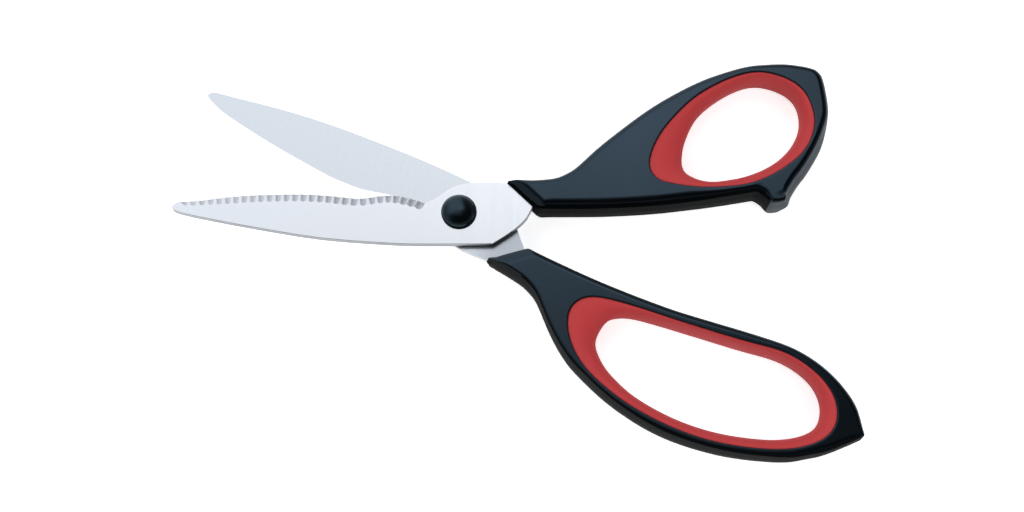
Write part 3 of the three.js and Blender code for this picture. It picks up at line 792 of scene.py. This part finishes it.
def fluteTree():  # grinds half-round flutes along the bevel, square to the edge
    tree = bpy.data.node_groups.new("fluteGrinding", "GeometryNodeTree")
    face = tree.interface
    face.new_socket("Geometry", in_out="INPUT", socket_type="NodeSocketGeometry")
    for label in ("Pitch", "Radius", "Depth", "Reach", "Start", "Stop",
                  "Bevel Rise", "Top Margin", "Dull Depth"):
        face.new_socket(label, in_out="INPUT", socket_type="NodeSocketFloat")
    face.new_socket("Steel", in_out="INPUT", socket_type="NodeSocketMaterial")
    face.new_socket("Geometry", in_out="OUTPUT", socket_type="NodeSocketGeometry")
    given, result = tree.nodes.new("NodeGroupInput"), tree.nodes.new("NodeGroupOutput")
    size = given.outputs

    def attribute(label):
        node = tree.nodes.new("GeometryNodeInputNamedAttribute")
        node.data_type = "FLOAT"
        node.inputs["Name"].default_value = label
        return node.outputs["Attribute"]

    def calc(operation, first, second=0.0):
        return addMath(tree, operation, first, second)

    def square(value):
        return calc("MULTIPLY", value, value)

    along, across, land = attribute("alongEdge"), attribute("fromEdge"), attribute("landHeight")
    position = tree.nodes.new("ShaderNodeSeparateXYZ")
    tree.links.new(tree.nodes.new("GeometryNodeInputPosition").outputs[0], position.inputs[0])
    here = position.outputs["Z"]

    # distance from the middle of the nearest flute, and the wheel's arc there
    fromStart = calc("SUBTRACT", along, size["Start"])
    inPitch = calc("FLOORED_MODULO", fromStart, size["Pitch"])
    offCentre = calc("SUBTRACT", inPitch, calc("MULTIPLY", size["Pitch"], 0.5))
    arc = calc("SQRT", calc("MAXIMUM", calc("SUBTRACT", square(size["Radius"]), square(offCentre)), 0.0))
    axisLift = calc("SUBTRACT", size["Radius"], size["Depth"])

    # height of the cut, shallower away from the edge
    slant = calc("SQRT", calc("ADD", square(size["Bevel Rise"]), 1.0))
    bevelHeight = calc("ADD", land, calc("MULTIPLY", across, size["Bevel Rise"]))
    runOut = calc("MULTIPLY", size["Depth"], calc("DIVIDE", across, size["Reach"]))
    lift = calc("ADD", calc("SUBTRACT", axisLift, arc), runOut)
    cutHeight = calc("ADD", bevelHeight, calc("MULTIPLY", lift, slant))

    # only on the bevel, between the first and the last flute
    drop = calc("MINIMUM", calc("SUBTRACT", cutHeight, here), 0.0)
    within = calc("MULTIPLY", calc("GREATER_THAN", fromStart, 0.0), calc("LESS_THAN", along, size["Stop"]))
    onTop = calc("GREATER_THAN", here, calc("SUBTRACT", land, size["Top Margin"]))
    drop = calc("MULTIPLY", drop, calc("MULTIPLY", within, onTop))

    offset = tree.nodes.new("ShaderNodeCombineXYZ")
    tree.links.new(drop, offset.inputs["Z"])
    mark = tree.nodes.new("GeometryNodeStoreNamedAttribute")
    mark.inputs["Name"].default_value = "flute"
    dull = calc("MINIMUM", calc("DIVIDE", drop, calc("MULTIPLY", size["Dull Depth"], -1.0)), 1.0)
    tree.links.new(dull, mark.inputs["Value"])
    tree.links.new(size["Geometry"], mark.inputs["Geometry"])
    grind = tree.nodes.new("GeometryNodeSetPosition")
    tree.links.new(mark.outputs["Geometry"], grind.inputs["Geometry"])
    tree.links.new(offset.outputs[0], grind.inputs["Offset"])
    realize = tree.nodes.new("GeometryNodeRealizeInstances")
    finish = tree.nodes.new("GeometryNodeSetMaterial")
    tree.links.new(grind.outputs[0], realize.inputs[0])
    tree.links.new(realize.outputs[0], finish.inputs["Geometry"])
    tree.links.new(size["Steel"], finish.inputs["Material"])
    tree.links.new(finish.outputs[0], result.inputs["Geometry"])
    return tree


def grindFlutes(mesh, run, shape):  # runs the tree on a scratch object and gives back a plain mesh
    low, high = (corner.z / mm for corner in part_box(shape["node"]))
    pitch, depth, start = serration["pitch"], serration["depth"], serration["margin"]
    count = math.floor((run - 2 * start) / pitch)
    lengths = {
        "Pitch": pitch, "Radius": serration["radius"], "Depth": depth,
        "Reach": serration["reach"] * shape["bevel"],
        "Start": start, "Stop": start + count * pitch,
        "Top Margin": serration["topMargin"], "Dull Depth": serration["dullShare"] * depth,
    }
    values = {label: length * mm for label, length in lengths.items()}
    values["Bevel Rise"] = (high - low - shape["land"]) / shape["bevel"]
    values["Steel"] = frontSteel
    scratch = addObject("fluteScratch", mesh)
    modifier = scratch.modifiers.new("fluteGrinding", "NODES")
    modifier.node_group = fluteTree()
    for item in modifier.node_group.interface.items_tree:
        if item.in_out == "INPUT" and item.name in values:
            modifier[item.identifier] = values[item.name]
    graph = bpy.context.evaluated_depsgraph_get()
    cutMesh = bpy.data.meshes.new_from_object(scratch.evaluated_get(graph))
    scratch.modifiers.remove(modifier)
    bpy.data.objects.remove(scratch)
    shadeMesh(cutMesh, bladeMake["sharp"])
    print("flutes ground:", count)
    return cutMesh


frontMesh, edgeRun = makeBladeMesh(frontBlade, "frontBlade")
frontMesh = grindFlutes(frontMesh, edgeRun, frontBlade)
addPiece("frontBlade", frontMesh, [frontSteel], frontBlade["body"], frontBlade["node"])
rearMesh, _ = makeBladeMesh(rearBlade, "rearBlade")
addPiece("rearBlade", rearMesh, [rearSteel], rearBlade["body"], rearBlade["node"])


# pivot caps

frontCap = {
    "node": "front_cap", "flange": 0.35, "flangeRound": 0.18, "step": 0.28, "foot": 0.02,
    "wall": 0.35, "domeSteps": 20,
}
backCap = {
    "node": "back_cap", "edgeRound": 0.5,
    "dish": 0.25, "dishRadius": 3.4, "dishBrim": 0.25, "dishBend": 0.4, "dishSlope": 0.3,
}
capMake = {"segments": 96, "sharp": 50, "roundSteps": 5, "axisRing": 1e-4}  # merged to a point


def latheMesh(profile, name):  # profile of radius and height in mm, from axis to axis
    turn = np.linspace(0, 2 * math.pi, capMake["segments"], endpoint=False)
    circle = np.column_stack([np.cos(turn), np.sin(turn)])
    bm = bmesh.new()
    rings = [onLevel(circle * max(radius, capMake["axisRing"]), height) for radius, height in profile]
    for row in addStack(bm, rings):
        bm.faces.new(row)
    return meshFrom(bm, name, capMake["sharp"])


def roundCorner(radius, top, size):  # quarter round at an upper outer corner
    return [(radius - size + size * math.cos(a), top - size + size * math.sin(a))
            for a in np.linspace(0, quarterTurn, capMake["roundSteps"])]


def makeFrontCap():
    low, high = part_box(frontCap["node"])
    radius, base, crown = high.x / mm, low.z / mm, high.z / mm
    shelf = base + frontCap["flange"]
    wallTop = shelf + frontCap["wall"]
    domeRadius = radius - frontCap["step"]
    profile = [(0, base), (radius, base)] + roundCorner(radius, shelf, frontCap["flangeRound"])
    profile.append((domeRadius + frontCap["foot"], shelf))
    for a in np.linspace(0, quarterTurn, frontCap["domeSteps"]):
        profile.append((domeRadius * math.cos(a), wallTop + (crown - wallTop) * math.sin(a)))
    mesh = latheMesh(profile, "frontCap")
    addPiece("frontCap", mesh, [capPlastic], "serrated_half", frontCap["node"])


def makeBackCap():
    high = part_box(backCap["node"])[1]
    radius, top = high.x / mm, high.z / mm
    deep, dish = backCap["dish"], backCap["dishRadius"]
    profile = [(0, top), (radius, top)]
    profile += [(r, -h) for r, h in roundCorner(radius, 0, backCap["edgeRound"])]
    profile += [(dish + backCap["dishBrim"], 0), (dish, deep * backCap["dishBend"])]
    profile += [(dish - backCap["dishSlope"], deep), (0, deep)]
    mesh = latheMesh(profile, "backCap")
    addPiece("backCap", mesh, [capPlastic], "serrated_half", backCap["node"])


makeFrontCap()
makeBackCap()

pivotFinishes = {
    "pivot_bolt": turnedSteel, "pivot_nut": turnedSteel, "spring_washer": turnedSteel,
    "head_washer": nylonFinish, "blade_washer": nylonFinish,
}
for node, finish in pivotFinishes.items():
    part = frame["nodes"][node]
    part.data.materials.clear()
    part.data.materials.append(finish)
print("pivot dressed")


# floor, light and camera

studio = {
    "floorColour": 0.9, "floorLift": 0.6, "floorSize": 6.0, "floorDrop": 0.0004,
    # edges are shares of a unit direction: right, back and up
    "panelColour": (1.1, 1.15, 1.22, 1), "panelWarm": (1.2, 1.22, 1.25, 1), "warmEdge": (-0.14, -0.03),
    "panelFront": (0.15, 0.28), "panelSkew": 0.35, "panelRight": (0.3, 0.5), "panelLean": 0.35,
    "panelLeft": (-0.9, -0.45), "panelLow": (0.7, 0.97), "lowShare": 0.75,
    "washFront": (-0.12, 0.12), "washRight": (0.02, 0.18), "washShare": 0.5,
    "hotPlace": (0.09, 0.34), "hotReach": 0.15, "hotColour": (2.35, 2.45, 2.6, 1),
    "roomColour": (0.02, 0.02, 0.02, 1),
    "sideColour": (0.4, 0.42, 0.43, 1), "sideEdge": (0.45, 0.8),
    "hazeColour": (0.34, 0.35, 0.36, 1), "hazeEdge": (0.45, 0.7), "hazeRight": (0.2, 0.6), "hazeShare": 0.6,
    "tentReach": 1.1, "tentHeight": 0.75, "tentSize": 1.2, "tentFirst": 45,
    "tentPowers": (6.0, 5.5, 8.0, 10.0),  # from +X +Y round
}


def shownRays(tree):  # 1 for rays that show the backdrop, 0 for light that falls on the object
    path = tree.nodes.new("ShaderNodeLightPath").outputs
    seen = addMath(tree, "MAXIMUM", path["Is Camera Ray"], path["Is Glossy Ray"])
    return addMath(tree, "MAXIMUM", seen, path["Is Transmission Ray"])


def aim(thing, place, target):
    thing.location = place
    thing.rotation_euler = (target - place).to_track_quat("-Z", "Y").to_euler()


def makeFloor():
    half = studio["floorSize"] / 2
    mesh = bpy.data.meshes.new("floor")
    corners = [(-half, -half), (half, -half), (half, half), (-half, half)]
    mesh.from_pydata([(x, y, -studio["floorDrop"]) for x, y in corners], [], [(0, 1, 2, 3)])
    floor = addObject("floor", mesh)
    material = bpy.data.materials.new("paleFloor")
    material.use_nodes = True
    tree = material.node_tree
    tree.nodes.clear()
    diffuse = tree.nodes.new("ShaderNodeBsdfDiffuse")
    diffuse.inputs["Color"].default_value = [studio["floorColour"]] * 3 + [1]
    glow = tree.nodes.new("ShaderNodeEmission")
    tree.links.new(addMath(tree, "MULTIPLY", shownRays(tree), studio["floorLift"]), glow.inputs["Strength"])
    both = tree.nodes.new("ShaderNodeAddShader")
    tree.links.new(diffuse.outputs[0], both.inputs[0])
    tree.links.new(glow.outputs[0], both.inputs[1])
    tree.links.new(both.outputs[0], tree.nodes.new("ShaderNodeOutputMaterial").inputs["Surface"])
    mesh.materials.append(material)


def makeDome():  # pale panel behind the object, wash overhead, dim left side, haze low down, dark elsewhere
    world = bpy.data.worlds.new("studioDome")
    bpy.context.scene.world = world
    world.use_nodes = True
    tree = world.node_tree
    way = tree.nodes.new("ShaderNodeSeparateXYZ")
    tree.links.new(tree.nodes.new("ShaderNodeTexCoord").outputs["Generated"], way.inputs[0])
    dx, dy, dz = way.outputs

    def calc(operation, first, second=0.0):
        return addMath(tree, operation, first, second)

    def softEdge(value, edge, low=0.0, high=1.0):
        ramp = tree.nodes.new("ShaderNodeMapRange")
        ramp.interpolation_type = "SMOOTHSTEP"
        tree.links.new(value, ramp.inputs["Value"])
        for label, number in zip(("From Min", "From Max", "To Min", "To Max"), (*edge, low, high)):
            ramp.inputs[label].default_value = number
        return ramp.outputs["Result"]

    def fadeOut(value, edge, rest=0.0):
        return softEdge(value, edge, 1.0, rest)

    # where the panel shows
    front = softEdge(calc("SUBTRACT", dy, calc("MULTIPLY", dx, studio["panelSkew"])), studio["panelFront"])
    wash = softEdge(dy, studio["washFront"], 0.0, studio["washShare"])
    front = calc("MAXIMUM", front, calc("MULTIPLY", wash, fadeOut(dx, studio["washRight"])))
    right = fadeOut(calc("ADD", dx, calc("MULTIPLY", dy, studio["panelLean"])), studio["panelRight"])
    left = softEdge(dx, studio["panelLeft"])
    low = fadeOut(dy, studio["panelLow"], studio["lowShare"])
    shown = calc("MULTIPLY", calc("MULTIPLY", front, right), calc("MULTIPLY", left, low))

    # its colour
    offX = calc("SUBTRACT", dx, studio["hotPlace"][0])
    offY = calc("SUBTRACT", dy, studio["hotPlace"][1])
    away = calc("SQRT", calc("ADD", calc("MULTIPLY", offX, offX), calc("MULTIPLY", offY, offY)))
    panel = addMix(tree, softEdge(dx, studio["warmEdge"]), studio["panelColour"], studio["panelWarm"])
    panel = addMix(tree, fadeOut(away, (0.0, studio["hotReach"])), panel, studio["hotColour"])

    # the rest of the room
    side = softEdge(calc("MULTIPLY", dx, -1.0), studio["sideEdge"])
    haze = calc("MULTIPLY", fadeOut(dz, studio["hazeEdge"]), shownRays(tree))
    haze = calc("MULTIPLY", haze, fadeOut(dx, studio["hazeRight"], studio["hazeShare"]))
    haze = calc("MULTIPLY", haze, calc("SUBTRACT", 1.0, side))
    room = addMix(tree, side, studio["roomColour"], studio["sideColour"])
    room = addMix(tree, haze, room, studio["hazeColour"])
    tree.links.new(addMix(tree, shown, room, panel), tree.nodes["Background"].inputs["Color"])


def makeTent():  # soft lamps on four sides, kept out of the reflections
    reach, powers = studio["tentReach"], studio["tentPowers"]
    for k, power in enumerate(powers):
        lamp = bpy.data.lights.new("tentLamp", "AREA")
        lamp.size = studio["tentSize"]
        lamp.energy = power
        turn = math.radians(studio["tentFirst"] + 360 / len(powers) * k)
        holder = addObject("tentLamp", lamp)
        place = Vector((math.cos(turn) * reach, math.sin(turn) * reach, studio["tentHeight"]))
        aim(holder, place, Vector((0, 0, 0)))
        holder.visible_glossy = False


view = {
    "place": (14.868, -128.504, 440.242), "target": (14.868, -12.035, 5.575),  # mm
    "lens": 56.5, "sensor": 36.0, "near": 0.01, "far": 20,
}


def makeCamera():
    camera = bpy.data.cameras.new("camera")
    camera.lens, camera.sensor_width = view["lens"], view["sensor"]
    camera.clip_start, camera.clip_end = view["near"], view["far"]
    holder = addObject("camera", camera)
    aim(holder, Vector(view["place"]) * mm, Vector(view["target"]) * mm)
    bpy.context.scene.camera = holder


makeFloor()
makeDome()
makeTent()
makeCamera()
bpy.context.scene.view_settings.view_transform = "Standard"
print("studio set")
